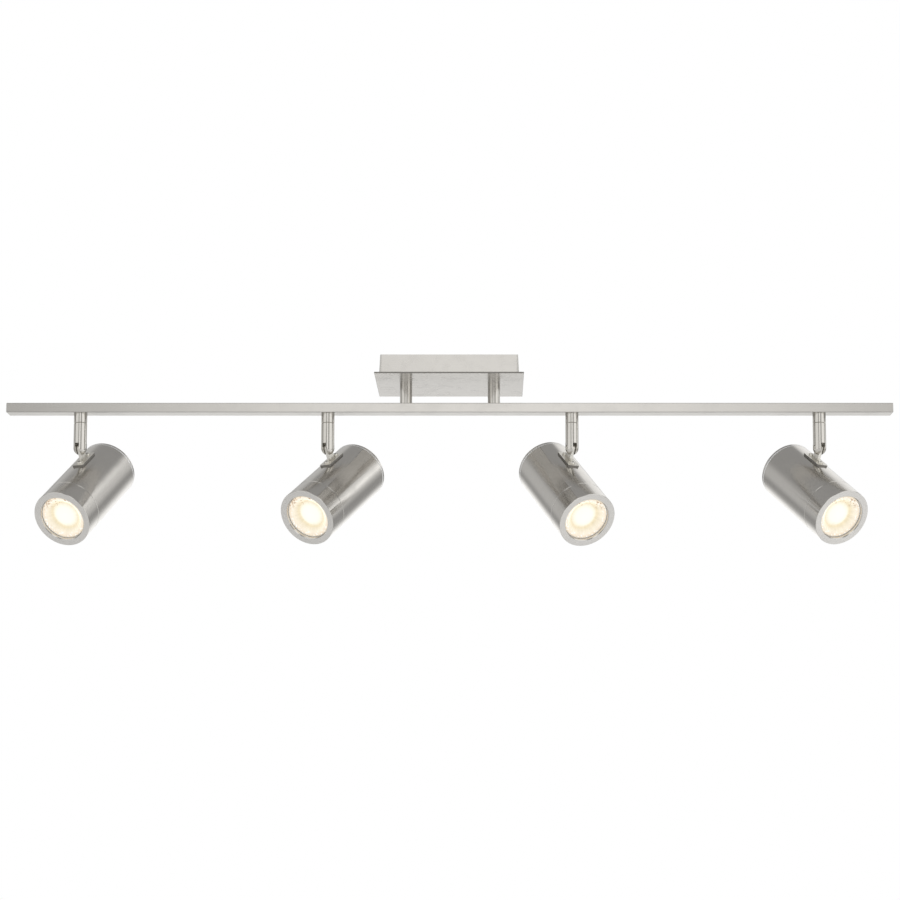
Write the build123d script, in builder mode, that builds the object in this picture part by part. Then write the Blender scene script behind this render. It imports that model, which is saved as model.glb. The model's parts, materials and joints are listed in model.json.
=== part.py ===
"""Four-spot ceiling bar light: a canopy carries a slim bar on two posts, and each spot hangs from
the bar on a swivelling stem with a tilting knuckle. Millimetres, +Z up, with the origin on the
ceiling plane at the middle of the mounting bracket. -Y is the front."""

import os
from math import asin, cos, degrees, radians, sin

from build123d import *

# Canopy
CANOPY_TOP_LENGTH = 143.0
CANOPY_TOP_DEPTH = 111.5
CANOPY_DRAFT = 3.0  # degrees
CANOPY_HEIGHT = 19.5
CANOPY_WALL = 1.0
CANOPY_CORNER = 1.2
PLATE_LENGTH = 155.0
PLATE_DEPTH = 123.5
PLATE_THICKNESS = 1.5
PLATE_EDGE = 0.3

# Mounting bracket, for a 3.5 inch ceiling box
BRACKET_WIDTH = 25.0
BRACKET_THICKNESS = 1.5
BRACKET_DROP = 14.0
BRACKET_GAP = 0.4
BOX_SCREW_SPACING = 88.9
BOX_SLOT_LENGTH = 12.0
BOX_SLOT_WIDTH = 5.0
SET_SCREW_RADIUS = 2.0
SET_SCREW_LENGTH = 7.0
SET_SCREW_DEPTH = 8.0
SET_SCREW_SOCKET = 1.15
GROUND_SCREW_X = 28.0
GROUND_HEAD_RADIUS = 4.0
GROUND_HEAD_HEIGHT = 2.4

# Terminal block
TERMINAL_LENGTH = 34.0
TERMINAL_DEPTH = 18.0
TERMINAL_HEIGHT = 12.0
TERMINAL_WAYS = 3
TERMINAL_PITCH = 10.0
TERMINAL_WELL_RADIUS = 2.2
TERMINAL_WELL_DEPTH = 3.5

# Posts, hollow threaded nipples and their nuts
POST_X = 46.5
POST_RADIUS = 6.5
POST_BORE = 4.5
POST_LENGTH = 21.0
NIPPLE_RADIUS = 4.0
NIPPLE_BORE = 2.75
NIPPLE_STAND_OUT = 0.8
NIPPLE_HOLE = 4.2
NUT_ACROSS_FLATS = 13.0
NUT_HEIGHT = 3.2

# Bar
BAR_LENGTH = 935.0
BAR_DEPTH = 20.0
BAR_HEIGHT = 10.0
BAR_WALL = 1.2
BAR_CORNER = 0.6
END_CAP_THICKNESS = 1.5
END_PLUG_LENGTH = 8.0
END_PLUG_GAP = 0.15

# Stems
INNER_STEM_X = 129.0
OUTER_STEM_X = 390.5
STEM_RADIUS = 7.0
STEM_EDGE = 0.35
COLLAR_LENGTH = 10.0
SWIVEL_GAP = 0.3
SWIVEL_CLEARANCE = 0.08
SPIGOT_RADIUS = 4.0
SPIGOT_BORE = 2.5
SPIGOT_ABOVE_NUT = 0.4
PIVOT_DROP = 37.0
SLOT_WIDTH = 4.4
SLOT_ABOVE_PIVOT = 5.0

# Tilt screw and knuckle
PIN_RADIUS = 1.5
PIN_CLEARANCE = 0.05
PIN_END = 5.6
PIN_HEAD_RADIUS = 2.6
PIN_HEAD_SEAT = 4.3
PIN_HEAD_TOP = 5.9
PIN_HEAD_GAP = 0.2
PIN_SOCKET = 1.25
PIN_SOCKET_DEPTH = 1.0
TONGUE_THICKNESS = 3.4
TONGUE_EYE_RADIUS = 3.9
TONGUE_FOOT_WIDTH = 10.0
FOOT_LENGTH = 30.0
FOOT_WIDTH = 13.0
FOOT_THICKNESS = 1.6
FOOT_CORNER = 1.5
FOOT_SCREW_X = 9.6
FOOT_SCREW_RADIUS = 1.5
FOOT_SCREW_REACH = 4.0
FOOT_HEAD_RADIUS = 2.9
FOOT_HEAD_HEIGHT = 2.0
FOOT_CROSS_LENGTH = 3.2
FOOT_CROSS_WIDTH = 0.7
FOOT_CROSS_DEPTH = 1.1

# Spot housing and bezel, measured along the barrel from the knuckle, front positive
AXIS_DROP = 45.0
HOUSING_RADIUS = 31.0
HOUSING_WALL = 1.5
HOUSING_REAR = -41.6
HOUSING_FRONT = 51.0
HOUSING_REAR_EDGE = 0.9
SEAM_EDGE = 0.3
SEAM_GAP = 0.3
BEZEL_FRONT = 74.6
BEZEL_FACE_THICKNESS = 3.0
BEZEL_BORE = 27.5
BEZEL_OPENING = 24.0
BEZEL_LIP = 0.7
BEZEL_SPIGOT_LENGTH = 6.0
BEZEL_SPIGOT_CLEARANCE = 0.08
LEAD_HOLE = 2.2

# GU10 lamp and holder
LAMP_FRONT = 70.8
LAMP_RADIUS = 25.0
LAMP_RIM = 3.0
LAMP_CUP_RADIUS = 22.0
LAMP_CUP_FLOOR_RADIUS = 10.0
LAMP_CUP_DEPTH = 14.0
LAMP_BODY_LENGTH = 47.0
LAMP_NECK_LENGTH = 13.0
LAMP_NECK_RADIUS = 9.0
LAMP_WAIST_RADIUS = 13.0
LAMP_PIN_SPACING = 10.0
LAMP_PIN_RADIUS = 1.5
LAMP_PIN_HEAD = 2.5
LAMP_PIN_LENGTH = 7.0
LAMP_PIN_HEAD_LENGTH = 2.5
LENS_RADIUS = 23.6
LENS_THICKNESS = 2.2
LENS_CROWN = 0.6
HOLDER_RADIUS = 13.5
HOLDER_LENGTH = 20.0
HOLDER_GAP = 0.5
HOLDER_PIN_HOLE = 2.8
HOLDER_PIN_DEPTH = 8.5
HOLDER_STRAP_WIDTH = 10.0
HOLDER_STRAP_THICKNESS = 1.0
HOLDER_STRAP_FLANGE = 8.0

# Wiring
LEAD_RADIUS = 1.0
LEAD_OFFSET = 1.1
LEAD_ABOVE_SPIGOT = 2.4
LEAD_ABOVE_BAR_FLOOR = 1.8
LEAD_RISE_START = 34.0
LEAD_RISE_END = 56.0
LEAD_ENTRY_BEND = 4.5
LEAD_EASY_BEND = 12.0
SLEEVE_RADIUS = 1.6
SLEEVE_BACK = 18.0
SLEEVE_CLEAR = 3.2
SLEEVE_END_GAP = 0.2
SLEEVE_BEND = 5.5

# Rest pose: pan of each spot from facing the front, + to the right, and tilt below level
STEM_XS = [-OUTER_STEM_X, -INNER_STEM_X, INNER_STEM_X, OUTER_STEM_X]
PANS = [-20.5, -30.5, 26.5, 28.0]
TILTS = [35.7, 33.5, 37.0, 33.7]

# Heights that follow from the sizes above
PLATE_TOP = -CANOPY_HEIGHT
PLATE_BOTTOM = PLATE_TOP - PLATE_THICKNESS
BAR_TOP = PLATE_BOTTOM - POST_LENGTH
BAR_BOTTOM = BAR_TOP - BAR_HEIGHT
BAR_FLOOR = BAR_BOTTOM + BAR_WALL
BAR_ROOF = BAR_TOP - BAR_WALL
PAN_FLOOR = PLATE_TOP + CANOPY_WALL
COLLAR_BOTTOM = BAR_BOTTOM - COLLAR_LENGTH
PIVOT_Z = BAR_BOTTOM - PIVOT_DROP
SWIVEL_NUT_BOTTOM = BAR_FLOOR + SWIVEL_GAP
SPIGOT_TOP = SWIVEL_NUT_BOTTOM + NUT_HEIGHT + SPIGOT_ABOVE_NUT
HOUSING_BORE = HOUSING_RADIUS - HOUSING_WALL
FOOT_TOP = HOUSING_RADIUS + FOOT_THICKNESS


def save(piece, name):
    """Label a finished sub-part and write its STEP file."""
    piece.part.label = name
    export_step(piece.part, f"parts/{name}.step")


def outline(plane, *points):
    """Face on the plane, bounded by straight runs through the points."""
    with BuildSketch(plane) as face:
        with BuildLine():
            Polyline(*points, close=True)
        make_face()
    return face.sketch


def bent_tube(points, radii, tube_radius):
    """Solid tube along straight runs joined by tangent arcs, for a wire or a sleeve."""
    with BuildPart() as tube:
        with BuildLine() as route:
            FilletPolyline(*points, radius=radii)
        start = Plane(origin=route.line @ 0, z_dir=route.line % 0)
        with BuildSketch(start):
            Circle(tube_radius)
        sweep(path=route.line)
    return tube.part


def make_canopy():
    """Pressed pan, cover plate, mounting bracket and the screws that hold them to the ceiling."""
    with BuildPart() as canopy_pan:
        with BuildSketch(Plane.XY):
            RectangleRounded(CANOPY_TOP_LENGTH, CANOPY_TOP_DEPTH, CANOPY_CORNER)
        extrude(amount=-CANOPY_HEIGHT, taper=-CANOPY_DRAFT)
        with BuildSketch(Plane.XY):
            RectangleRounded(
                CANOPY_TOP_LENGTH - 2 * CANOPY_WALL,
                CANOPY_TOP_DEPTH - 2 * CANOPY_WALL,
                CANOPY_CORNER - CANOPY_WALL,
            )
        extrude(amount=PAN_FLOOR, taper=-CANOPY_DRAFT, mode=Mode.SUBTRACT)
        with BuildSketch(Plane.XY.offset(PLATE_TOP)):
            with Locations((-POST_X, 0), (POST_X, 0)):
                Circle(NIPPLE_HOLE)
        extrude(amount=CANOPY_WALL, mode=Mode.SUBTRACT)
        with BuildSketch(Plane.YZ):
            with Locations((0, -SET_SCREW_DEPTH)):
                Circle(SET_SCREW_RADIUS)
        extrude(amount=CANOPY_TOP_LENGTH, both=True, mode=Mode.SUBTRACT)
    save(canopy_pan, "canopy_pan")

    with BuildPart() as canopy_plate:
        with BuildSketch(Plane.XY.offset(PLATE_BOTTOM)):
            Rectangle(PLATE_LENGTH, PLATE_DEPTH)
            with Locations((-POST_X, 0), (POST_X, 0)):
                Circle(NIPPLE_HOLE, mode=Mode.SUBTRACT)
        extrude(amount=PLATE_THICKNESS)
        chamfer(canopy_plate.edges().filter_by(GeomType.LINE), length=PLATE_EDGE)
    save(canopy_plate, "canopy_plate")

    wall_outside = CANOPY_TOP_LENGTH / 2 + SET_SCREW_DEPTH * sin(radians(CANOPY_DRAFT))
    ear_outside = CANOPY_TOP_LENGTH / 2 - CANOPY_WALL - BRACKET_GAP
    with BuildPart() as mounting_bracket:
        with BuildSketch(Plane.XZ):
            with BuildLine():
                Polyline(
                    (-ear_outside, 0),
                    (ear_outside, 0),
                    (ear_outside, -BRACKET_DROP),
                    (ear_outside - BRACKET_THICKNESS, -BRACKET_DROP),
                    (ear_outside - BRACKET_THICKNESS, -BRACKET_THICKNESS),
                    (BRACKET_THICKNESS - ear_outside, -BRACKET_THICKNESS),
                    (BRACKET_THICKNESS - ear_outside, -BRACKET_DROP),
                    (-ear_outside, -BRACKET_DROP),
                    close=True,
                )
            make_face()
        extrude(amount=BRACKET_WIDTH / 2, both=True)
        with BuildSketch(Plane.XY):
            with Locations((-BOX_SCREW_SPACING / 2, 0), (BOX_SCREW_SPACING / 2, 0)):
                SlotOverall(BOX_SLOT_LENGTH, BOX_SLOT_WIDTH)
            with Locations((GROUND_SCREW_X, 0)):
                Circle(SET_SCREW_RADIUS)
        extrude(amount=-BRACKET_THICKNESS, mode=Mode.SUBTRACT)
        with BuildSketch(Plane.YZ):
            with Locations((0, -SET_SCREW_DEPTH)):
                Circle(SET_SCREW_RADIUS)
        extrude(amount=CANOPY_TOP_LENGTH, both=True, mode=Mode.SUBTRACT)
    save(mounting_bracket, "mounting_bracket")

    with BuildPart() as canopy_set_screws:
        for turn in (0, 180):
            end = Plane(
                origin=Vector(wall_outside, 0, -SET_SCREW_DEPTH).rotate(Axis.Z, turn),
                z_dir=Vector(-1, 0, 0).rotate(Axis.Z, turn),
            )
            with BuildSketch(end):
                Circle(SET_SCREW_RADIUS)
            extrude(amount=SET_SCREW_LENGTH)
            with BuildSketch(end):
                RegularPolygon(SET_SCREW_SOCKET, 6)
            extrude(amount=SET_SCREW_RADIUS, mode=Mode.SUBTRACT)
    save(canopy_set_screws, "canopy_set_screws")

    with BuildPart() as ground_screw:
        with BuildSketch(Plane.XY.offset(-BRACKET_THICKNESS)):
            with Locations((GROUND_SCREW_X, 0)):
                RegularPolygon(GROUND_HEAD_RADIUS, 6)
        extrude(amount=-GROUND_HEAD_HEIGHT)
        with BuildSketch(Plane.XY):
            with Locations((GROUND_SCREW_X, 0)):
                Circle(SET_SCREW_RADIUS)
        extrude(amount=-BRACKET_THICKNESS)
    save(ground_screw, "ground_screw")


def make_terminal_block():
    """Screw terminal strip that joins the supply to the bar's wiring."""
    with BuildPart() as terminal_block:
        with BuildSketch(Plane.XY.offset(-BRACKET_THICKNESS)):
            RectangleRounded(TERMINAL_LENGTH, TERMINAL_DEPTH, CANOPY_CORNER)
        extrude(amount=-TERMINAL_HEIGHT)
        with BuildSketch(Plane.XY.offset(-BRACKET_THICKNESS - TERMINAL_HEIGHT)):
            with GridLocations(TERMINAL_PITCH, TERMINAL_PITCH, TERMINAL_WAYS, 2):
                Circle(TERMINAL_WELL_RADIUS)
        extrude(amount=TERMINAL_WELL_DEPTH, mode=Mode.SUBTRACT)
    save(terminal_block, "terminal_block")


def make_posts():
    """Two tubular posts, clamped between canopy and bar by nuts on hollow threaded nipples."""
    for side, name in ((-1, "post_left"), (1, "post_right")):
        with BuildPart() as post:
            with BuildSketch(Plane.XY.offset(BAR_TOP)):
                with Locations((side * POST_X, 0)):
                    Circle(POST_RADIUS)
                    Circle(POST_BORE, mode=Mode.SUBTRACT)
            extrude(amount=POST_LENGTH)
        save(post, name)

    nipple_top = PAN_FLOOR + NUT_HEIGHT + NIPPLE_STAND_OUT
    nipple_bottom = BAR_ROOF - NUT_HEIGHT - NIPPLE_STAND_OUT
    with BuildPart() as post_nipples:
        with BuildSketch(Plane.XY.offset(nipple_bottom)):
            with Locations((-POST_X, 0), (POST_X, 0)):
                Circle(NIPPLE_RADIUS)
                Circle(NIPPLE_BORE, mode=Mode.SUBTRACT)
        extrude(amount=nipple_top - nipple_bottom)
    save(post_nipples, "post_nipples")

    with BuildPart() as post_nuts:
        for seat, height in ((PAN_FLOOR, NUT_HEIGHT), (BAR_ROOF, -NUT_HEIGHT)):
            with BuildSketch(Plane.XY.offset(seat)):
                with Locations((-POST_X, 0), (POST_X, 0)):
                    RegularPolygon(NUT_ACROSS_FLATS / 2, 6, major_radius=False)
                    Circle(NIPPLE_RADIUS, mode=Mode.SUBTRACT)
            extrude(amount=height)
    save(post_nuts, "post_nuts")


def make_bar():
    """Rectangular tube with a cap in each end and a collar under each stem hole."""
    tube_half = BAR_LENGTH / 2 - END_CAP_THICKNESS
    section = Plane(origin=(0, 0, (BAR_TOP + BAR_BOTTOM) / 2), x_dir=(0, 1, 0), z_dir=(1, 0, 0))
    inside_depth = BAR_DEPTH - 2 * BAR_WALL
    inside_height = BAR_HEIGHT - 2 * BAR_WALL
    with BuildPart() as bar:
        with BuildSketch(section):
            RectangleRounded(BAR_DEPTH, BAR_HEIGHT, BAR_CORNER)
            Rectangle(inside_depth, inside_height, mode=Mode.SUBTRACT)
        extrude(amount=tube_half, both=True)
        with BuildSketch(Plane.XY.offset(BAR_BOTTOM)):
            with Locations(*[(x, 0) for x in STEM_XS]):
                Circle(SPIGOT_RADIUS + SWIVEL_CLEARANCE)
        extrude(amount=BAR_WALL, mode=Mode.SUBTRACT)
        with BuildSketch(Plane.XY.offset(BAR_TOP)):
            with Locations((-POST_X, 0), (POST_X, 0)):
                Circle(NIPPLE_HOLE)
        extrude(amount=-BAR_WALL, mode=Mode.SUBTRACT)
    save(bar, "bar")

    for side, name in ((-1, "end_cap_left"), (1, "end_cap_right")):
        mouth = Plane(origin=(side * tube_half, 0, section.origin.Z), x_dir=(0, 1, 0), z_dir=(side, 0, 0))
        with BuildPart() as end_cap:
            with BuildSketch(mouth):
                RectangleRounded(BAR_DEPTH, BAR_HEIGHT, BAR_CORNER)
            extrude(amount=END_CAP_THICKNESS)
            with BuildSketch(mouth):
                Rectangle(inside_depth - 2 * END_PLUG_GAP, inside_height - 2 * END_PLUG_GAP)
            extrude(amount=-END_PLUG_LENGTH)
            chamfer(end_cap.faces().sort_by(Axis.X)[0 if side < 0 else -1].edges(), length=PLATE_EDGE)
        save(end_cap, name)

    with BuildPart() as stem_collars:
        with BuildSketch(Plane.XY.offset(COLLAR_BOTTOM)):
            with Locations(*[(x, 0) for x in STEM_XS]):
                Circle(STEM_RADIUS)
                Circle(SPIGOT_RADIUS + SWIVEL_CLEARANCE, mode=Mode.SUBTRACT)
        extrude(amount=COLLAR_LENGTH)
        rims = stem_collars.edges().filter_by(GeomType.CIRCLE).group_by(Axis.Z)[0]
        chamfer(rims.filter_by(lambda rim: rim.radius == STEM_RADIUS), length=STEM_EDGE)
    save(stem_collars, "stem_collars")


def make_bar_wiring():
    """Two leads on each side, from the terminal block through a post and the bar into two stems."""
    along_low = BAR_FLOOR + LEAD_ABOVE_BAR_FLOOR
    along_high = SPIGOT_TOP + LEAD_ABOVE_SPIGOT
    at_terminals = -SET_SCREW_DEPTH - LEAD_RADIUS
    lead_end = PIVOT_Z + SLOT_ABOVE_PIVOT + PLATE_EDGE
    leads = []
    for side in (-1, 1):
        for stem_x, y in ((INNER_STEM_X, -LEAD_OFFSET), (OUTER_STEM_X, LEAD_OFFSET)):
            route = [
                (side * TERMINAL_LENGTH / 2, y, at_terminals),
                (side * POST_X, y, at_terminals),
                (side * POST_X, y, along_low),
                (side * (POST_X + LEAD_RISE_START), y, along_low),
                (side * (POST_X + LEAD_RISE_END), y, along_high),
                (side * stem_x, y, along_high),
                (side * stem_x, y, lead_end),
            ]
            bends = [LEAD_ENTRY_BEND, LEAD_ENTRY_BEND, LEAD_EASY_BEND, LEAD_EASY_BEND, LEAD_ENTRY_BEND]
            leads.append(bent_tube(route, bends, LEAD_RADIUS))
    with BuildPart() as bar_wiring:
        add(leads)
    save(bar_wiring, "bar_wiring")


def make_stem(number, upright):
    """Swivelling stem with a slotted round end, its nut inside the bar and its tilt screw. The
    upright plane has its origin on the pivot, x towards the heading and y up."""
    shoulder = COLLAR_BOTTOM - SWIVEL_GAP - PIVOT_Z
    spigot_top = SPIGOT_TOP - PIVOT_Z
    with BuildPart() as stem:
        with BuildSketch(upright):
            with BuildLine():
                dome = CenterArc((0, 0), STEM_RADIUS, -90, 90)
                Polyline(
                    dome @ 1,
                    (STEM_RADIUS, shoulder - STEM_EDGE),
                    (STEM_RADIUS - STEM_EDGE, shoulder),
                    (SPIGOT_RADIUS, shoulder),
                    (SPIGOT_RADIUS, spigot_top),
                    (SPIGOT_BORE, spigot_top),
                    (SPIGOT_BORE, 0),
                    (0, 0),
                    dome @ 0,
                )
            make_face()
        revolve(axis=Axis(upright.origin, upright.y_dir))
        with BuildSketch(upright):
            with Locations((0, SLOT_ABOVE_PIVOT)):
                Rectangle(3 * STEM_RADIUS, 3 * STEM_RADIUS, align=(Align.CENTER, Align.MAX))
        extrude(amount=SLOT_WIDTH / 2, both=True, mode=Mode.SUBTRACT)
        with BuildSketch(upright):
            Circle(PIN_RADIUS)
        extrude(amount=PIN_END, both=True, mode=Mode.SUBTRACT)
        with BuildSketch(upright.offset(PIN_HEAD_SEAT)):
            Circle(PIN_HEAD_RADIUS + PIN_HEAD_GAP)
        extrude(amount=STEM_RADIUS, mode=Mode.SUBTRACT)
    save(stem, f"stem_{number}")

    nut_plane = Plane(
        origin=(upright.origin.X, 0, SWIVEL_NUT_BOTTOM), x_dir=upright.x_dir, z_dir=(0, 0, 1)
    )
    with BuildPart() as swivel_nut:
        with BuildSketch(nut_plane):
            RegularPolygon(NUT_ACROSS_FLATS / 2, 6, major_radius=False)
            Circle(SPIGOT_RADIUS, mode=Mode.SUBTRACT)
        extrude(amount=NUT_HEIGHT)
    save(swivel_nut, f"swivel_nut_{number}")

    with BuildPart() as tilt_screw:
        with BuildSketch(upright.offset(-PIN_END)):
            Circle(PIN_RADIUS)
        extrude(amount=PIN_END + PIN_HEAD_SEAT)
        with BuildSketch(upright.offset(PIN_HEAD_SEAT)):
            Circle(PIN_HEAD_RADIUS)
        extrude(amount=PIN_HEAD_TOP - PIN_HEAD_SEAT)
        with BuildSketch(upright.offset(PIN_HEAD_TOP)):
            RegularPolygon(PIN_SOCKET, 6)
        extrude(amount=-PIN_SOCKET_DEPTH, mode=Mode.SUBTRACT)
    save(tilt_screw, f"tilt_screw_{number}")


def make_knuckle(number, tilted, barrel):
    """Tongue on a saddle foot, and the two screws that hold the foot to the housing. The tilted
    plane has its origin on the pivot, x to the front of the spot and y away from its housing."""
    foot_plane = Plane(
        origin=barrel.from_local_coords(Vector(0, FOOT_TOP, 0)), x_dir=barrel.x_dir, z_dir=barrel.y_dir
    )
    with BuildPart() as knuckle:
        with BuildSketch(foot_plane):
            RectangleRounded(FOOT_LENGTH, FOOT_WIDTH, FOOT_CORNER)
        extrude(amount=-2 * FOOT_THICKNESS)
        with BuildSketch(Plane(barrel.origin, x_dir=barrel.z_dir, z_dir=barrel.x_dir)):
            Circle(HOUSING_RADIUS)
        extrude(amount=FOOT_LENGTH, both=True, mode=Mode.SUBTRACT)
        with BuildSketch(tilted):
            Circle(TONGUE_EYE_RADIUS)
            with Locations((0, FOOT_TOP - AXIS_DROP)):
                Rectangle(TONGUE_FOOT_WIDTH, FOOT_THICKNESS / 2, align=(Align.CENTER, Align.MAX))
            make_hull()
        extrude(amount=TONGUE_THICKNESS / 2, both=True)
        with BuildSketch(tilted):
            Circle(PIN_RADIUS + PIN_CLEARANCE)
        extrude(amount=TONGUE_THICKNESS, both=True, mode=Mode.SUBTRACT)
        with BuildSketch(foot_plane):
            with Locations((-FOOT_SCREW_X, 0), (FOOT_SCREW_X, 0)):
                Circle(FOOT_SCREW_RADIUS)
        extrude(amount=-2 * FOOT_THICKNESS, mode=Mode.SUBTRACT)
    save(knuckle, f"knuckle_{number}")

    with BuildPart() as foot_screws:
        with BuildSketch(foot_plane):
            with Locations((-FOOT_SCREW_X, 0), (FOOT_SCREW_X, 0)):
                Circle(FOOT_SCREW_RADIUS)
        extrude(amount=-FOOT_THICKNESS - FOOT_SCREW_REACH)
        with BuildSketch(foot_plane):
            with Locations((-FOOT_SCREW_X, 0), (FOOT_SCREW_X, 0)):
                Circle(FOOT_HEAD_RADIUS)
        extrude(amount=FOOT_HEAD_HEIGHT)
        crowns = foot_screws.faces().sort_by(Axis(barrel.origin, barrel.y_dir))[-2:]
        fillet(crowns.edges(), radius=FOOT_HEAD_HEIGHT / 2)
        with BuildSketch(foot_plane.offset(FOOT_HEAD_HEIGHT)):
            with Locations((-FOOT_SCREW_X, 0), (FOOT_SCREW_X, 0)):
                Rectangle(FOOT_CROSS_LENGTH, FOOT_CROSS_WIDTH)
                Rectangle(FOOT_CROSS_WIDTH, FOOT_CROSS_LENGTH)
        extrude(amount=-FOOT_CROSS_DEPTH, mode=Mode.SUBTRACT)
    save(foot_screws, f"foot_screws_{number}")


def make_housing(number, barrel, axis):
    """Drawn cylindrical housing with a closed rear, and the bezel screwed into its mouth."""
    entry = Plane(barrel.origin, x_dir=barrel.x_dir, z_dir=barrel.y_dir)
    inside_rear = HOUSING_REAR + HOUSING_WALL
    wall = outline(
        barrel,
        (HOUSING_REAR, 0),
        (HOUSING_REAR, HOUSING_RADIUS - HOUSING_REAR_EDGE),
        (HOUSING_REAR + HOUSING_REAR_EDGE, HOUSING_RADIUS),
        (HOUSING_FRONT - SEAM_EDGE, HOUSING_RADIUS),
        (HOUSING_FRONT, HOUSING_RADIUS - SEAM_EDGE),
        (HOUSING_FRONT, HOUSING_BORE),
        (inside_rear, HOUSING_BORE),
        (inside_rear, 0),
    )
    with BuildPart() as housing:
        revolve(wall, axis=axis)
        with BuildSketch(entry):
            with Locations((-FOOT_SCREW_X, 0), (FOOT_SCREW_X, 0)):
                Circle(FOOT_SCREW_RADIUS)
            Circle(LEAD_HOLE)
        extrude(amount=HOUSING_RADIUS, mode=Mode.SUBTRACT)
    save(housing, f"housing_{number}")

    seam = HOUSING_FRONT + SEAM_GAP
    spigot_rear = HOUSING_FRONT - BEZEL_SPIGOT_LENGTH
    spigot_radius = HOUSING_BORE - BEZEL_SPIGOT_CLEARANCE
    face_back = BEZEL_FRONT - BEZEL_FACE_THICKNESS
    ring = outline(
        barrel,
        (spigot_rear, BEZEL_BORE),
        (spigot_rear, spigot_radius),
        (seam, spigot_radius),
        (seam, HOUSING_RADIUS - SEAM_EDGE),
        (seam + SEAM_EDGE, HOUSING_RADIUS),
        (BEZEL_FRONT - SEAM_EDGE, HOUSING_RADIUS),
        (BEZEL_FRONT, HOUSING_RADIUS - SEAM_EDGE),
        (BEZEL_FRONT, BEZEL_OPENING + BEZEL_LIP),
        (BEZEL_FRONT - BEZEL_LIP, BEZEL_OPENING),
        (face_back, BEZEL_OPENING),
        (face_back, BEZEL_BORE),
    )
    with BuildPart() as bezel:
        revolve(ring, axis=axis)
    save(bezel, f"bezel_{number}")


def make_lamp(number, barrel, axis):
    """Reflector lamp with a two-pin twist base, its front lens and the ceramic holder."""
    body_rear = LAMP_FRONT - LAMP_BODY_LENGTH
    neck_rear = body_rear - LAMP_NECK_LENGTH + LAMP_PIN_LENGTH
    lens_back = LAMP_FRONT - LENS_THICKNESS
    shell = outline(
        barrel,
        (neck_rear, 0),
        (neck_rear, LAMP_NECK_RADIUS),
        (body_rear, LAMP_NECK_RADIUS),
        (body_rear, LAMP_WAIST_RADIUS),
        ((body_rear + LAMP_FRONT) / 2, (LAMP_RADIUS + LAMP_WAIST_RADIUS) / 2 + LAMP_RIM / 2),
        (LAMP_FRONT - 2 * LAMP_RIM, LAMP_RADIUS - LAMP_RIM / 2),
        (LAMP_FRONT - LAMP_RIM, LAMP_RADIUS),
        (LAMP_FRONT, LAMP_RADIUS),
        (LAMP_FRONT, LENS_RADIUS),
        (lens_back, LENS_RADIUS),
        (lens_back, LAMP_CUP_RADIUS),
        (LAMP_FRONT - LAMP_CUP_DEPTH, LAMP_CUP_FLOOR_RADIUS),
        (LAMP_FRONT - LAMP_CUP_DEPTH, 0),
    )
    pin_plane = Plane(
        barrel.from_local_coords(Vector(neck_rear, 0, 0)), x_dir=barrel.z_dir, z_dir=-barrel.x_dir
    )
    pins = [(-LAMP_PIN_SPACING / 2, 0), (LAMP_PIN_SPACING / 2, 0)]
    with BuildPart() as lamp_body:
        revolve(shell, axis=axis)
        with BuildSketch(pin_plane):
            with Locations(*pins):
                Circle(LAMP_PIN_RADIUS)
        extrude(amount=LAMP_PIN_LENGTH)
        with BuildSketch(pin_plane.offset(LAMP_PIN_LENGTH - LAMP_PIN_HEAD_LENGTH)):
            with Locations(*pins):
                Circle(LAMP_PIN_HEAD)
        extrude(amount=LAMP_PIN_HEAD_LENGTH)
    save(lamp_body, f"lamp_body_{number}")

    crown_radius = (LENS_RADIUS**2 + LENS_CROWN**2) / (2 * LENS_CROWN)
    crown_angle = degrees(asin(LENS_RADIUS / crown_radius))
    with BuildPart() as lamp_lens:
        with BuildSketch(barrel):
            with BuildLine():
                crown = CenterArc((LAMP_FRONT - crown_radius, 0), crown_radius, 0, crown_angle)
                Polyline(crown @ 1, (lens_back, LENS_RADIUS), (lens_back, 0), crown @ 0)
            make_face()
        revolve(axis=axis)
    save(lamp_lens, f"lamp_lens_{number}")

    holder_front = neck_rear - HOLDER_GAP
    holder_rear = holder_front - HOLDER_LENGTH
    front_plane = Plane(
        barrel.from_local_coords(Vector(holder_front, 0, 0)), x_dir=barrel.z_dir, z_dir=-barrel.x_dir
    )
    rear_plane = front_plane.offset(HOLDER_LENGTH)
    strap_reach = HOUSING_BORE - HOLDER_STRAP_THICKNESS
    with BuildPart() as lampholder:
        with BuildSketch(front_plane):
            Circle(HOLDER_RADIUS)
        extrude(amount=HOLDER_LENGTH)
        with BuildSketch(front_plane):
            with Locations(*pins):
                Circle(HOLDER_PIN_HOLE)
        extrude(amount=HOLDER_PIN_DEPTH, mode=Mode.SUBTRACT)
        with BuildSketch(rear_plane):
            Rectangle(2 * strap_reach, HOLDER_STRAP_WIDTH)
        extrude(amount=HOLDER_STRAP_THICKNESS)
        for reach in (-strap_reach, strap_reach):
            with BuildSketch(rear_plane):
                with Locations((reach, 0)):
                    Rectangle(HOLDER_STRAP_THICKNESS, HOLDER_STRAP_WIDTH)
            extrude(amount=HOLDER_STRAP_FLANGE)
        with BuildSketch(rear_plane.offset(HOLDER_STRAP_THICKNESS)):
            Circle(SLEEVE_RADIUS)
        extrude(amount=-2 * HOLDER_STRAP_THICKNESS, mode=Mode.SUBTRACT)
    save(lampholder, f"lampholder_{number}")

    clear = HOLDER_RADIUS + SLEEVE_CLEAR
    route = [
        (holder_rear, 0),
        (holder_rear - SLEEVE_BACK, 0),
        (holder_rear - SLEEVE_BACK, clear),
        (0, clear),
        (0, HOUSING_RADIUS - SLEEVE_END_GAP),
    ]
    sleeve = bent_tube(
        [barrel.from_local_coords(Vector(x, y, 0)) for x, y in route], [SLEEVE_BEND] * 3, SLEEVE_RADIUS
    )
    with BuildPart() as head_leads:
        add(sleeve)
    save(head_leads, f"head_leads_{number}")


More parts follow.
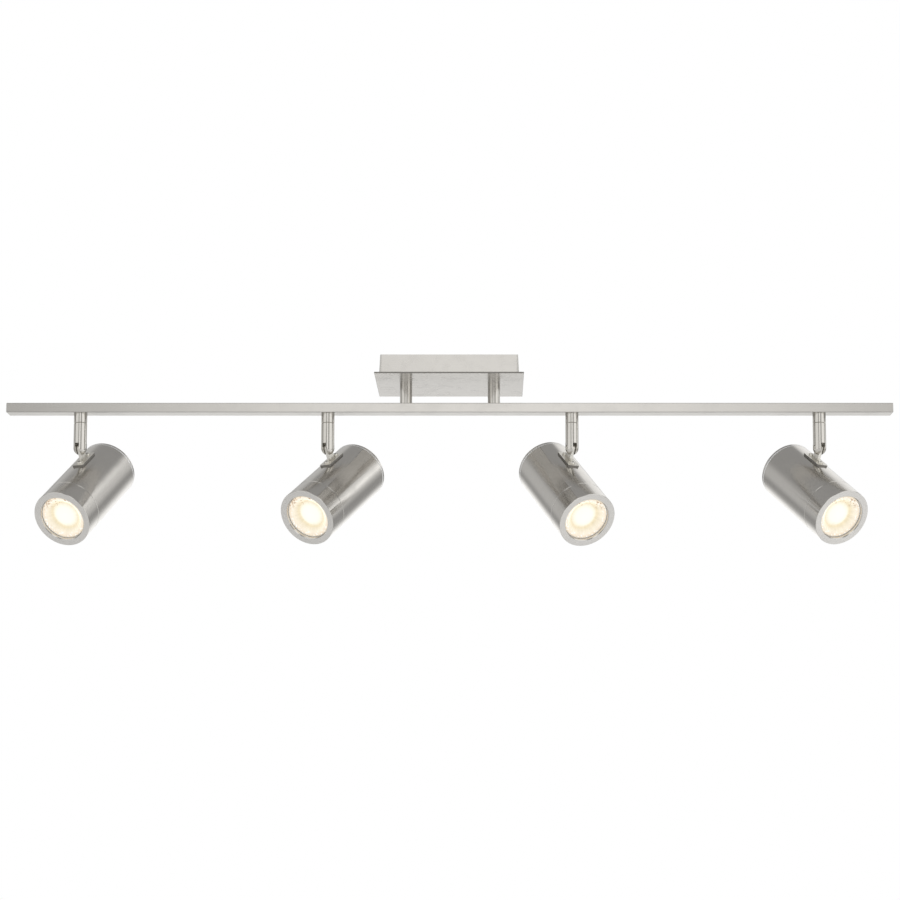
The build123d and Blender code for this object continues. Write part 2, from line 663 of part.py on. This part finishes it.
def make_spot(number, stem_x, pan, tilt):
    """One spot with its stem, turned and tilted as it stands at rest."""
    pivot = Vector(stem_x, 0, PIVOT_Z)
    up = Vector(0, 0, 1)
    heading = Vector(sin(radians(pan)), -cos(radians(pan)), 0)
    forward = heading * cos(radians(tilt)) - up * sin(radians(tilt))
    side = heading.cross(up)
    upright = Plane(pivot, x_dir=heading, z_dir=side)
    tilted = Plane(pivot, x_dir=forward, z_dir=side)
    barrel = Plane(tilted.from_local_coords(Vector(0, -AXIS_DROP, 0)), x_dir=forward, z_dir=side)
    axis = Axis(barrel.origin, barrel.x_dir)
    make_stem(number, upright)
    make_knuckle(number, tilted, barrel)
    make_housing(number, barrel, axis)
    make_lamp(number, barrel, axis)


os.makedirs("parts", exist_ok=True)
make_canopy()
make_terminal_block()
make_posts()
make_bar()
make_bar_wiring()
for number, (stem_x, pan, tilt) in enumerate(zip(STEM_XS, PANS, TILTS), start=1):
    make_spot(number, stem_x, pan, tilt)
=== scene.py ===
"""Looks of the four-spot ceiling bar light: satin nickel, lit lamps, pale studio."""

import json
import math

import bmesh
import bpy
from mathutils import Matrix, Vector


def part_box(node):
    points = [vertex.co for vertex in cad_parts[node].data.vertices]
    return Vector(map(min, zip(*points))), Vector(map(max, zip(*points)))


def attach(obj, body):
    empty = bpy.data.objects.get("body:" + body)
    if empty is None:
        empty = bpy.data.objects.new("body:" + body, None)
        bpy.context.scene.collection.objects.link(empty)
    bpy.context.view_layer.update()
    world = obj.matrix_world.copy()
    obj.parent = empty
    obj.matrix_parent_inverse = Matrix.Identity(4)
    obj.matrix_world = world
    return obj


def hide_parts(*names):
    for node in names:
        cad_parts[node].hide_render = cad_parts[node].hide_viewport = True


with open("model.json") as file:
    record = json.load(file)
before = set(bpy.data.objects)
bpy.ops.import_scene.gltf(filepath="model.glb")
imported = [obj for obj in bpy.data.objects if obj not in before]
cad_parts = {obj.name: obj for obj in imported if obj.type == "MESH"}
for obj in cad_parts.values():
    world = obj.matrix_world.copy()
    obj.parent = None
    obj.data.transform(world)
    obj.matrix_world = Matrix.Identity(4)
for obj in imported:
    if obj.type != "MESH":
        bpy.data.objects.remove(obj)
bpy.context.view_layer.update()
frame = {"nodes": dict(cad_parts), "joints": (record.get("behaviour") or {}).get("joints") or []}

NODES = frame["nodes"]
JOINTS = {joint["name"]: joint for joint in frame["joints"]}
SPOTS = (1, 2, 3, 4)
MM = 0.001
ALONG_BAR = Vector((1, 0, 0))
FRONT = Vector((0, -1, 0))
UP = Vector((0, 0, 1))

# From a spot's tilt pivot: down to just under the top of its foot plate, and back to the seam of
# its rear cap. Then how wide that seam is either way from its middle, where it fades out, and how
# much rougher it is.
FOOT_TOP_DROP = 12.5 * MM
# The cap seam is a painted highlight: a thin line of the housing blended toward white
CAP_SEAM_BACK = 37.8 * MM
CAP_SEAM_HALF = 0.5 * MM
CAP_SEAM_FADE = 0.9 * MM
CAP_SEAM_ROUGH = 0.45

# Brushed nickel: linear tone, roughness, and how far its highlights stretch
NICKEL = (0.640, 0.622, 0.592)
PAN_NICKEL = (NICKEL, 0.25, 0.5)
PLATE_NICKEL = (NICKEL, 0.25, 0.4)
BAR_NICKEL = (NICKEL, 0.23, 0.5)
SHELL_NICKEL = (NICKEL, 0.13, 0.85)
TURNED_NICKEL = ((0.680, 0.660, 0.620), 0.16, 0.3)
FACED_NICKEL = ((0.740, 0.725, 0.700), 0.42, 0.0)

# Its grain: noise cells per metre along x, y and z
LINES_ALONG_BAR = (11.0, 1500.0, 1500.0)
RINGS_ROUND_POST = (40.0, 40.0, 2500.0)
RINGS_ROUND_BARREL = (2600.0, 30.0, 30.0)

# Plain metal: linear tone and roughness
CAST_NICKEL = ((0.800, 0.780, 0.730), 0.34)
SCREW_NICKEL = ((0.800, 0.780, 0.730), 0.2)
# Painted shade: a dark metal put on edges and corners to stand for the shade and dark reflections there
PAINTED_EDGE_SHADE = ((0.250, 0.240, 0.225), 0.35)
ZINC_STEEL = ((0.560, 0.570, 0.580), 0.38)
SET_SCREW_STEEL = ((0.448, 0.456, 0.464), 0.3)
GROUND_GREEN = ((0.050, 0.300, 0.100), 0.4)

# Moulded plastic and ceramic: linear tone and roughness
TERMINAL_NYLON = ((0.80, 0.79, 0.74), 0.45)
BAR_SLEEVE = ((0.025, 0.025, 0.025), 0.5)
HEAD_SLEEVE = ((0.03, 0.03, 0.03), 0.5)
LAMP_WHITE = ((0.82, 0.80, 0.76), 0.4)
CERAMIC = ((0.78, 0.76, 0.70), 0.6)

# Noise cells per metre: clouds and smudges on brushed metal, and the speck of other finishes
CLOUD_SPECK = 21.0
SMUDGE_SPECK = 70.0
METAL_SPECK = 500.0
MOULDED_SPECK = 900.0
FACET_SPECK = 430.0

# How much of a face's normal runs up, or forward along a barrel: less than this on the edge of the
# canopy plate, between these on the bar's corners, more than this on the face of a bezel, and less
# than this away from the pivot on the edge of a foot plate
# The canopy plate's edge, the bar's corners and a foot plate's edge take the dark metal of painted shade
PLATE_EDGE = 0.9
BAR_CORNERS = (0.35, 0.94)
BEZEL_FACE = 0.98
FOOT_EDGE = 0.3

# Lamp front, row by row over the dome, the funnel, the rim and the back: mm forward of the lens's
# foremost point, share of its radius, and whether it is faceted there
LAMP_PROFILE = (
    (-4.2, 0.0, 0), (-4.7, 0.26, 0), (-5.9, 0.48, 0), (-7.0, 0.58, 0), (-6.2, 0.62, 0),
    (-4.2, 0.70, 1), (-2.4, 0.78, 1), (-1.0, 0.84, 0), (-0.9, 0.87, 0), (-1.5, 0.89, 1),
    (-1.4, 0.93, 1), (-0.7, 0.95, 0), (-0.7, 0.985, 0), (-1.0, 1.0, 0), (-2.6, 1.0, 0),
    (-2.7, 0.93, 0), (-7.8, 0.64, 0), (-7.8, 0.0, 0),
)
LAMP_SEGMENTS = 72
LAMP_FACET = 0.28 * MM
LAMP_GAP = 0.1 * MM

# Glow of the lamp front by share of its radius, from the dome's middle to the rim's edge
LAMP_COLOURS = (
    (0.00, (1.00, 1.00, 0.93)), (0.38, (1.00, 0.99, 0.90)), (0.48, (0.97, 0.94, 0.81)),
    (0.54, (0.95, 0.88, 0.70)), (0.62, (0.86, 0.75, 0.52)), (0.68, (0.87, 0.78, 0.60)),
    (0.76, (0.93, 0.85, 0.69)), (0.86, (0.95, 0.86, 0.72)), (0.93, (0.90, 0.78, 0.62)),
    (1.00, (0.62, 0.54, 0.44)),
)
# Painted reflection: brown flecks near the top of the lamp's funnel
PAINTED_BROWN_REFLECTION = (0.36, 0.20, 0.10)
GLINT = (1.0, 0.99, 0.95)
UNLIT_LENS = (0.10, 0.085, 0.06, 1)
LAMP_LEVEL = 0.97
STREAKS_AROUND = 5.0

# Studio surround: level everywhere, then each soft lamp's azimuth from the front (+ to the right),
# elevation, half-width, half-height (degrees), how much of it is evenly bright, and its level
AMBIENT = 0.39
SOFT_LAMPS = {
    "front": (0.5, 8, 15, 60, 0.25, 0.82),
    "front_left": (-52, 8, 34, 60, 0.6, 0.55),
    "front_right": (57, 8, 32, 60, 0.6, 0.72),
    "behind": (180, 2, 42, 26, 0.35, 0.84),
    "right_wall": (112, 20, 28, 28, 0.3, 0.36),
    "right_strip": (110, 22, 4, 32, 0.3, 1.10),
    "left_strip": (-119, 14, 24, 26, 0.3, 0.24),
    "right_rear_window": (161, 38, 17, 24, 0.5, 0.75),
    "left_rear_window": (-160, 38, 16, 20, 0.4, 0.25),
}
LAMP_WARMTH = (1.0, 0.995, 0.985)

# Floor, in metres: its size and how far down it is, its tones, and its light, which rises between
# these levels from one of these places along x to the other
FLOOR_SIZE = 9.8
FLOOR_DROP = 2.2
FLOOR_TONES = ((0.84, 0.84, 0.84), (0.88, 0.88, 0.88))
FLOOR_LEVELS = (0.22, 0.5)
FLOOR_SPAN = (0.5, 3.3)

# Camera: place, degrees above level, lens and sensor in mm, and shift in frame widths
CAMERA_PLACE = (0.0413, -2.5, -0.533)
CAMERA_RISE = 6.8
CAMERA_LENS = 96.01
CAMERA_SENSOR = 36.0
CAMERA_SHIFT = (-0.0433, 0.1507)


# ---------------------------------------------------------------- node helpers


def new_material(name):
    """Material with an empty node tree, its Principled shader and its output joined."""
    material = bpy.data.materials.new(name)
    material.use_nodes = True
    tree = material.node_tree
    tree.nodes.clear()
    shader = tree.nodes.new("ShaderNodeBsdfPrincipled")
    output = tree.nodes.new("ShaderNodeOutputMaterial")
    tree.links.new(shader.outputs["BSDF"], output.inputs["Surface"])
    return material, tree, shader


def put(tree, value, socket):
    """Gives a socket another socket's output, a number, or a colour or vector."""
    if isinstance(value, bpy.types.NodeSocket):
        tree.links.new(value, socket)
    elif socket.type == "RGBA":
        socket.default_value = (*value[:3], 1.0)
    else:
        socket.default_value = value


def add_node(tree, kind, inputs=(), **settings):
    """Node of that kind with its settings and inputs."""
    made = tree.nodes.new("ShaderNode" + kind)
    for key, value in settings.items():
        setattr(made, key, value)
    for key, value in dict(inputs).items():
        put(tree, value, made.inputs[key])
    return made


def calc(tree, operation, *values):
    """Output of one math step."""
    return add_node(tree, "Math", dict(enumerate(values)), operation=operation).outputs[0]


def blend_colours(tree, factor, low, high):
    """Colour between low and high by factor."""
    mix = add_node(tree, "Mix", {"Factor": factor}, data_type="RGBA")
    put(tree, low, mix.inputs[6])
    put(tree, high, mix.inputs[7])
    return mix.outputs[2]


def remap(tree, value, low, high, from_low=0.0, from_high=1.0, smooth=False):
    """Value moved from one range to another."""
    inputs = {"Value": value, "From Min": from_low, "From Max": from_high, "To Min": low, "To Max": high}
    steps = "SMOOTHSTEP" if smooth else "LINEAR"
    return add_node(tree, "MapRange", inputs, interpolation_type=steps).outputs["Result"]


def ramp(tree, factor, stops):
    """Colour ramp through (place, colour) stops."""
    made = add_node(tree, "ValToRGB", {"Fac": factor})
    elements = made.color_ramp.elements
    while len(elements) < len(stops):
        elements.new(0.5)
    for element, (place, colour) in zip(elements, stops):
        element.position = place
        element.color = (*colour, 1.0)
    return made.outputs["Color"]


def noise(tree, vector, scale, detail=2.0, roughness=0.5):
    """Noise value at a vector."""
    inputs = {"Vector": vector, "Scale": scale, "Detail": detail, "Roughness": roughness}
    return add_node(tree, "TexNoise", inputs).outputs["Fac"]


def tinted(colour, factor):
    """Colour scaled by a factor."""
    return tuple(min(1.0, channel * factor) for channel in colour)


def object_space(tree, origin=Vector(), along=ALONG_BAR):
    """Object coordinates from an origin, turned so that x runs along a direction."""
    turn = along.to_track_quat("X", "Z").to_matrix().inverted()
    place = add_node(tree, "TexCoord").outputs["Object"]
    inputs = {"Vector": place, "Rotation": turn.to_euler(), "Location": -(turn @ origin)}
    return add_node(tree, "Mapping", inputs).outputs["Vector"]


def relief(tree, shader, height, strength, distance):
    """Bump on a shader's normal."""
    bump = add_node(tree, "Bump", {"Height": height, "Strength": strength, "Distance": distance})
    tree.links.new(bump.outputs["Normal"], shader.inputs["Normal"])


# ---------------------------------------------------------------- materials


def cap_seam(tree, local):
    """How much of the painted highlight on the thin line where a housing's rear cap meets its barrel
    shows at a place.
    """
    forward = add_node(tree, "SeparateXYZ", {0: local}).outputs["X"]
    away = calc(tree, "ABSOLUTE", calc(tree, "ADD", forward, CAP_SEAM_BACK))
    return remap(tree, away, 1.0, 0.0, CAP_SEAM_HALF, CAP_SEAM_FADE)


def brushed_metal(name, finish, glint, cells, origin=Vector(), along=ALONG_BAR, capped=False):
    """Satin plated metal. Its grain is noise with these cells in a space whose x runs along a
    direction, and glint is the direction that its highlights stretch along. A capped one has the
    seam of a housing's rear cap."""
    colour, rough, stretch = finish
    material, tree, shader = new_material(name)
    local = object_space(tree, origin, along)
    stretched = add_node(tree, "Mapping", {"Vector": local, "Scale": cells}).outputs["Vector"]
    grain = noise(tree, stretched, 1.0, roughness=0.55)
    broad = noise(tree, local, CLOUD_SPECK)
    smudge = noise(tree, local, SMUDGE_SPECK, detail=3.0, roughness=0.6)
    grained = blend_colours(
        tree, remap(tree, grain, 0, 1, 0.3, 0.7), tinted(colour, 0.965), tinted(colour, 1.03)
    )
    cloudy = remap(tree, broad, 0.0, 0.5, 0.38, 0.7, smooth=True)
    toned = blend_colours(tree, cloudy, grained, tinted(colour, 0.96))
    # Painted highlight: a capped housing's seam line is blended toward white
    seam = cap_seam(tree, local) if capped else 0.0
    light = blend_colours(tree, seam, toned, (1.0, 1.0, 1.0))
    tree.links.new(light, shader.inputs["Base Color"])
    grain_rough = remap(tree, grain, rough - 0.012, rough + 0.018, 0.3, 0.7)
    handled = remap(tree, smudge, 0.0, 0.028, 0.45, 0.7, smooth=True)
    worn = calc(tree, "ADD", grain_rough, handled)
    matte_seam = calc(tree, "MULTIPLY", seam, CAP_SEAM_ROUGH)
    tree.links.new(calc(tree, "ADD", worn, matte_seam), shader.inputs["Roughness"])
    shader.inputs["Metallic"].default_value = 1.0
    shader.inputs["Anisotropic"].default_value = stretch
    fixed = add_node(tree, "CombineXYZ", dict(enumerate(glint))).outputs[0]
    to_world = {"vector_type": "VECTOR", "convert_from": "OBJECT", "convert_to": "WORLD"}
    turned = add_node(tree, "VectorTransform", {"Vector": fixed}, **to_world).outputs[0]
    tree.links.new(turned, shader.inputs["Tangent"])
    relief(tree, shader, grain, 0.015, 0.01 * MM)
    return material


def plain_metal(name, colour, rough):
    """Plated or cast metal with a fine even texture."""
    material, tree, shader = new_material(name)
    fine = noise(tree, object_space(tree), METAL_SPECK, detail=3.0)
    tone = blend_colours(tree, fine, tinted(colour, 0.94), tinted(colour, 1.04))
    tree.links.new(tone, shader.inputs["Base Color"])
    tree.links.new(remap(tree, fine, rough - 0.04, rough + 0.05), shader.inputs["Roughness"])
    shader.inputs["Metallic"].default_value = 1.0
    relief(tree, shader, fine, 0.05, 0.02 * MM)
    return material


def moulded(name, colour, rough):
    """Moulded plastic, rubber or ceramic with a faint grain."""
    material, tree, shader = new_material(name)
    fine = noise(tree, object_space(tree), MOULDED_SPECK, detail=4.0)
    tone = blend_colours(tree, fine, tinted(colour, 0.94), tinted(colour, 1.03))
    tree.links.new(tone, shader.inputs["Base Color"])
    tree.links.new(remap(tree, fine, rough - 0.06, rough + 0.08), shader.inputs["Roughness"])
    relief(tree, shader, fine, 0.15, 0.05 * MM)
    return material


def lamp_glow(name, centre, barrel, radius):
    """Lit clear front of the lamp: a cream centre in a warm faceted funnel and rim."""
    material, tree, shader = new_material(name)
    local = object_space(tree, centre, barrel)
    parts = add_node(tree, "SeparateXYZ", {0: local}).outputs
    across = add_node(tree, "CombineXYZ", {"Y": parts["Y"], "Z": parts["Z"]}).outputs[0]
    from_axis = add_node(tree, "VectorMath", {0: across}, operation="LENGTH").outputs["Value"]
    share = calc(tree, "DIVIDE", from_axis, radius)
    colour = ramp(tree, share, LAMP_COLOURS)
    facets = noise(tree, local, FACET_SPECK, detail=1.0)
    outward = add_node(tree, "VectorMath", {0: across}, operation="NORMALIZE").outputs[0]
    streaks = noise(tree, outward, STREAKS_AROUND)
    streaked = remap(tree, streaks, 0.95, 1.05, 0.3, 0.7)
    mottled = calc(tree, "MULTIPLY", remap(tree, facets, 0.90, 1.08), streaked)
    in_funnel = remap(tree, share, 0, 1, 0.36, 0.56, smooth=True)
    change = calc(tree, "MULTIPLY", calc(tree, "SUBTRACT", mottled, 1.0), in_funnel)
    shade = calc(tree, "ADD", change, 1.0)
    lit = add_node(tree, "VectorMath", {0: colour, "Scale": shade}, operation="SCALE").outputs[0]
    # Painted reflection: brown flecks on the upper part of the funnel
    high_up = remap(tree, calc(tree, "DIVIDE", parts["Z"], radius), 0.12, 1, 0.3, 0.7, smooth=True)
    brown = calc(tree, "MULTIPLY", high_up, remap(tree, facets, 0, 0.8, 0.56, 0.66))
    browned = blend_colours(tree, calc(tree, "MULTIPLY", brown, in_funnel), lit, PAINTED_BROWN_REFLECTION)
    on_rim = remap(tree, share, 0, 1, 0.74, 0.84, smooth=True)
    glint = calc(tree, "MULTIPLY", remap(tree, facets, 0, 1, 0.42, 0.36), on_rim)
    sparkling = blend_colours(tree, glint, browned, GLINT)
    tree.links.new(sparkling, shader.inputs["Emission Color"])
    shader.inputs["Emission Strength"].default_value = LAMP_LEVEL
    shader.inputs["Base Color"].default_value = UNLIT_LENS
    shader.inputs["Roughness"].default_value = 0.12
    shader.inputs["IOR"].default_value = 1.49
    relief(tree, shader, facets, 0.25, 0.3 * MM)
    return material


def dress(node, *materials):
    """Gives a CAD node these materials, all its faces in the first."""
    slots = NODES[node].data.materials
    slots.clear()
    for material in materials:
        slots.append(material)
    for face in NODES[node].data.polygons:
        face.material_index = 0


def dress_where(node, test):
    """Puts a CAD node's faces that pass a test in its second material."""
    for face in NODES[node].data.polygons:
        face.material_index = int(test(face))


def on_foot_edge(face, pivot, barrel):
    """Whether a face is on the edge of the foot plate, below its top and square to it."""
    outward = (UP - barrel * UP.dot(barrel)).normalized()
    below_pivot = (pivot - face.center).dot(outward)
    return abs(face.normal.dot(outward)) < FOOT_EDGE and below_pivot > FOOT_TOP_DROP


# ---------------------------------------------------------------- studio


def make_floor():
    """Pale floor far below the fixture."""
    bpy.ops.mesh.primitive_plane_add(size=FLOOR_SIZE, location=(0, 0, -FLOOR_DROP))
    floor = bpy.context.object
    floor.name = "studio_floor"
    material, tree, shader = new_material("studio_floor")
    tone = noise(tree, object_space(tree), 1.5)
    tree.links.new(blend_colours(tree, tone, *FLOOR_TONES), shader.inputs["Base Color"])
    shader.inputs["Roughness"].default_value = 0.8
    shader.inputs["Emission Color"].default_value = (1, 1, 1, 1)
    place = add_node(tree, "TexCoord").outputs["Object"]
    across = add_node(tree, "SeparateXYZ", {0: place}).outputs["X"]
    level = remap(tree, across, *FLOOR_LEVELS, *FLOOR_SPAN)
    tree.links.new(level, shader.inputs["Emission Strength"])
    floor.data.materials.append(material)


def soft_lamp(tree, azimuth, elevation, place):
    """Level of one soft lamp of the surround in a direction given by its azimuth and elevation."""
    turn, rise, width, height, even, level = place
    off = calc(tree, "SUBTRACT", azimuth, math.radians(turn))
    wrapped = calc(tree, "WRAP", off, math.pi, -math.pi)
    aside = calc(tree, "DIVIDE", wrapped, math.radians(width))
    above = calc(tree, "SUBTRACT", elevation, math.radians(rise))
    away = calc(tree, "DIVIDE", above, math.radians(height))
    squares = calc(tree, "ADD", calc(tree, "MULTIPLY", aside, aside), calc(tree, "MULTIPLY", away, away))
    return remap(tree, calc(tree, "SQRT", squares), level, 0.0, even, 1.0, smooth=True)


def make_world():
    """Soft studio surround, seen as plain white by the camera."""
    world = bpy.data.worlds.new("studio")
    bpy.context.scene.world = world
    world.use_nodes = True
    tree = world.node_tree
    tree.nodes.clear()
    parts = add_node(tree, "SeparateXYZ", {0: add_node(tree, "TexCoord").outputs["Generated"]}).outputs
    azimuth = calc(tree, "ARCTAN2", parts["X"], calc(tree, "MULTIPLY", parts["Y"], -1.0))
    elevation = calc(tree, "ARCSINE", parts["Z"])
    level = AMBIENT
    for place in SOFT_LAMPS.values():
        level = calc(tree, "ADD", soft_lamp(tree, azimuth, elevation, place), level)
    seen = add_node(tree, "Background", {"Color": (1, 1, 1), "Strength": 1.0})
    lit = add_node(tree, "Background", {"Color": LAMP_WARMTH, "Strength": level})
    camera_ray = add_node(tree, "LightPath").outputs["Is Camera Ray"]
    choice = add_node(tree, "MixShader", {0: camera_ray, 1: lit.outputs[0], 2: seen.outputs[0]})
    output = add_node(tree, "OutputWorld")
    tree.links.new(choice.outputs[0], output.inputs["Surface"])


def make_camera():
    """Camera in front of the fixture and below its bar."""
    data = bpy.data.cameras.new("camera")
    data.lens = CAMERA_LENS
    data.sensor_width = CAMERA_SENSOR
    data.shift_x, data.shift_y = CAMERA_SHIFT
    camera = bpy.data.objects.new("camera", data)
    camera.location = CAMERA_PLACE
    camera.rotation_euler = (math.radians(90 + CAMERA_RISE), 0, 0)
    bpy.context.scene.collection.objects.link(camera)
    bpy.context.scene.camera = camera


# ---------------------------------------------------------------- the fixture


def turned_metal(name):
    """Nickel of the posts and stems, with fine rings round them."""
    return brushed_metal(name, TURNED_NICKEL, UP, RINGS_ROUND_POST)


def finish_canopy_and_bar():
    """Metals of the canopy, the posts, the bar and the parts hidden inside them."""
    pan = brushed_metal("nickel_canopy", PAN_NICKEL, UP, LINES_ALONG_BAR)
    plate = brushed_metal("nickel_plate", PLATE_NICKEL, FRONT, LINES_ALONG_BAR)
    bar = brushed_metal("nickel_bar", BAR_NICKEL, UP, LINES_ALONG_BAR)
    # Painted shade on the canopy plate's edge and the bar's corners
    edge = plain_metal("painted_edge_shade", *PAINTED_EDGE_SHADE)
    dress("canopy_pan", pan)
    dress("canopy_plate", plate, edge)
    dress_where("canopy_plate", lambda face: abs(face.normal.z) < PLATE_EDGE)
    least, most = BAR_CORNERS
    for node in ("bar", "end_cap_left", "end_cap_right"):
        dress(node, bar, edge)
        dress_where(node, lambda face: least < abs(face.normal.z) < most)
    zinc = plain_metal("zinc_steel", *ZINC_STEEL)
    for node in ("mounting_bracket", "post_nipples", "post_nuts"):
        dress(node, zinc)
    dress("canopy_set_screws", plain_metal("set_screw", *SET_SCREW_STEEL))
    dress("ground_screw", plain_metal("ground_green", *GROUND_GREEN))
    dress("terminal_block", moulded("terminal_nylon", *TERMINAL_NYLON))
    dress("bar_wiring", moulded("lead_sleeve", *BAR_SLEEVE))
    turned = turned_metal("nickel_turned")
    for node in ("post_left", "post_right", "stem_collars"):
        dress(node, turned)


def revolved_piece(name, centre, barrel, profile):
    """Closed body of revolution about a barrel's line through a centre. The profile is a list of
    (forward, radius, facet share), and a facet pushes every other corner in or out."""
    side = barrel.cross(UP).normalized()
    top = side.cross(barrel)
    mesh = bmesh.new()
    rings = []
    for forward, radius, share in profile:
        middle = centre + barrel * forward
        if radius == 0:
            rings.append([mesh.verts.new(middle)] * LAMP_SEGMENTS)
            continue
        ring = []
        for step in range(LAMP_SEGMENTS):
            turn = 2 * math.pi * step / LAMP_SEGMENTS
            reach = radius + LAMP_FACET * share * (1 if step % 2 else -1)
            ring.append(mesh.verts.new(middle + (side * math.cos(turn) + top * math.sin(turn)) * reach))
        rings.append(ring)
    for inner, outer, (_, _, share) in zip(rings, rings[1:], profile):
        for step in range(LAMP_SEGMENTS):
            after = (step + 1) % LAMP_SEGMENTS
            corners = [inner[step], inner[after], outer[after], outer[step]]
            face = mesh.faces.new(list(dict.fromkeys(corners)))
            face.smooth = share == 0
    bmesh.ops.recalc_face_normals(mesh, faces=mesh.faces)
    data = bpy.data.meshes.new(name)
    mesh.to_mesh(data)
    mesh.free()
    piece = bpy.data.objects.new(name, data)
    bpy.context.scene.collection.objects.link(piece)
    return piece


def make_lamp_front(number, barrel):
    """Clear lamp front: a stepped rim, a faceted funnel and a domed glowing lens."""
    low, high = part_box(f"bezel_{number}")
    on_axis = (low + high) / 2
    lens = NODES[f"lamp_lens_{number}"].data.vertices
    reach = [(point.co - on_axis).dot(barrel) for point in lens]
    centre = on_axis + barrel * max(reach)
    radius = max((point.co - on_axis).cross(barrel).length for point in lens) - LAMP_GAP
    sized = [(forward * MM, share * radius, facet) for forward, share, facet in LAMP_PROFILE]
    piece = revolved_piece(f"lamp_front_{number}", centre, barrel, sized)
    piece.data.materials.append(lamp_glow(f"lamp_glow_{number}", centre, barrel, radius))
    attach(piece, f"spot_{number}")
    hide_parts(f"lamp_lens_{number}")


def finish_spot(number):
    """Metals, ceramic and lamp of one spot."""
    barrel = Vector(JOINTS[f"bezel_{number}_off"]["axis"])
    pivot = Vector(JOINTS[f"tilt_{number}"]["pos_m"])
    rings = (barrel, RINGS_ROUND_BARREL, pivot, barrel)
    shell = brushed_metal(f"nickel_housing_{number}", SHELL_NICKEL, *rings, capped=True)
    face = brushed_metal(f"nickel_face_{number}", FACED_NICKEL, *rings)
    cast = plain_metal(f"nickel_cast_{number}", *CAST_NICKEL)
    screw = plain_metal(f"screw_{number}", *SCREW_NICKEL)
    # Painted shade on the foot plate's edge
    painted_edge_shade = plain_metal(f"painted_edge_shade_{number}", *PAINTED_EDGE_SHADE)
    dress(f"stem_{number}", turned_metal(f"nickel_stem_{number}"))
    dress(f"swivel_nut_{number}", screw)
    dress(f"tilt_screw_{number}", screw)
    dress(f"knuckle_{number}", cast, painted_edge_shade)
    dress_where(f"knuckle_{number}", lambda face: on_foot_edge(face, pivot, barrel))
    dress(f"foot_screws_{number}", screw)
    dress(f"housing_{number}", shell)
    dress(f"bezel_{number}", shell, face)
    dress_where(f"bezel_{number}", lambda face: face.normal.dot(barrel) > BEZEL_FACE)
    dress(f"lamp_body_{number}", moulded(f"lamp_white_{number}", *LAMP_WHITE))
    dress(f"lampholder_{number}", moulded(f"ceramic_{number}", *CERAMIC))
    dress(f"head_leads_{number}", moulded(f"head_lead_{number}", *HEAD_SLEEVE))
    make_lamp_front(number, barrel)


make_camera()
make_world()
make_floor()
finish_canopy_and_bar()
for number in SPOTS:
    finish_spot(number)

view_settings = bpy.context.scene.view_settings
view_settings.view_transform = "Standard"
view_settings.look = "None"
